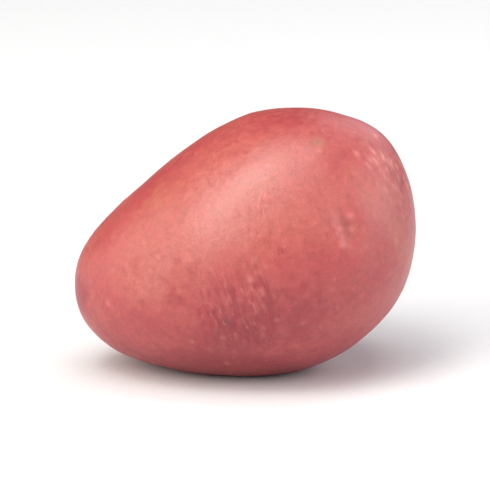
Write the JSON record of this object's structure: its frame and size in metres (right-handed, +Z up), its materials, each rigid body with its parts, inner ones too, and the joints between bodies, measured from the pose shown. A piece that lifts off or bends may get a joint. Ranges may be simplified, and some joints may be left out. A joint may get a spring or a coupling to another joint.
{
  "type": "potato",
  "caption": "Whole raw red-skinned potato, egg-shaped with shallow eyes, lying on a small flat spot on its underside.",
  "frame": {"origin": "middle of the footprint, on the surface that the potato lies on", "axes": "+X towards the fat bud end, which is raised a little; -X towards the narrow stem end; +Y towards the back; +Z up"},
  "size_m": [0.0856, 0.0642, 0.066],
  "materials": {
    "potato_skin": "satin"
  },
  "bodies": {
    "root": {"potato": "potato_skin"}
  },
  "joints": []
}
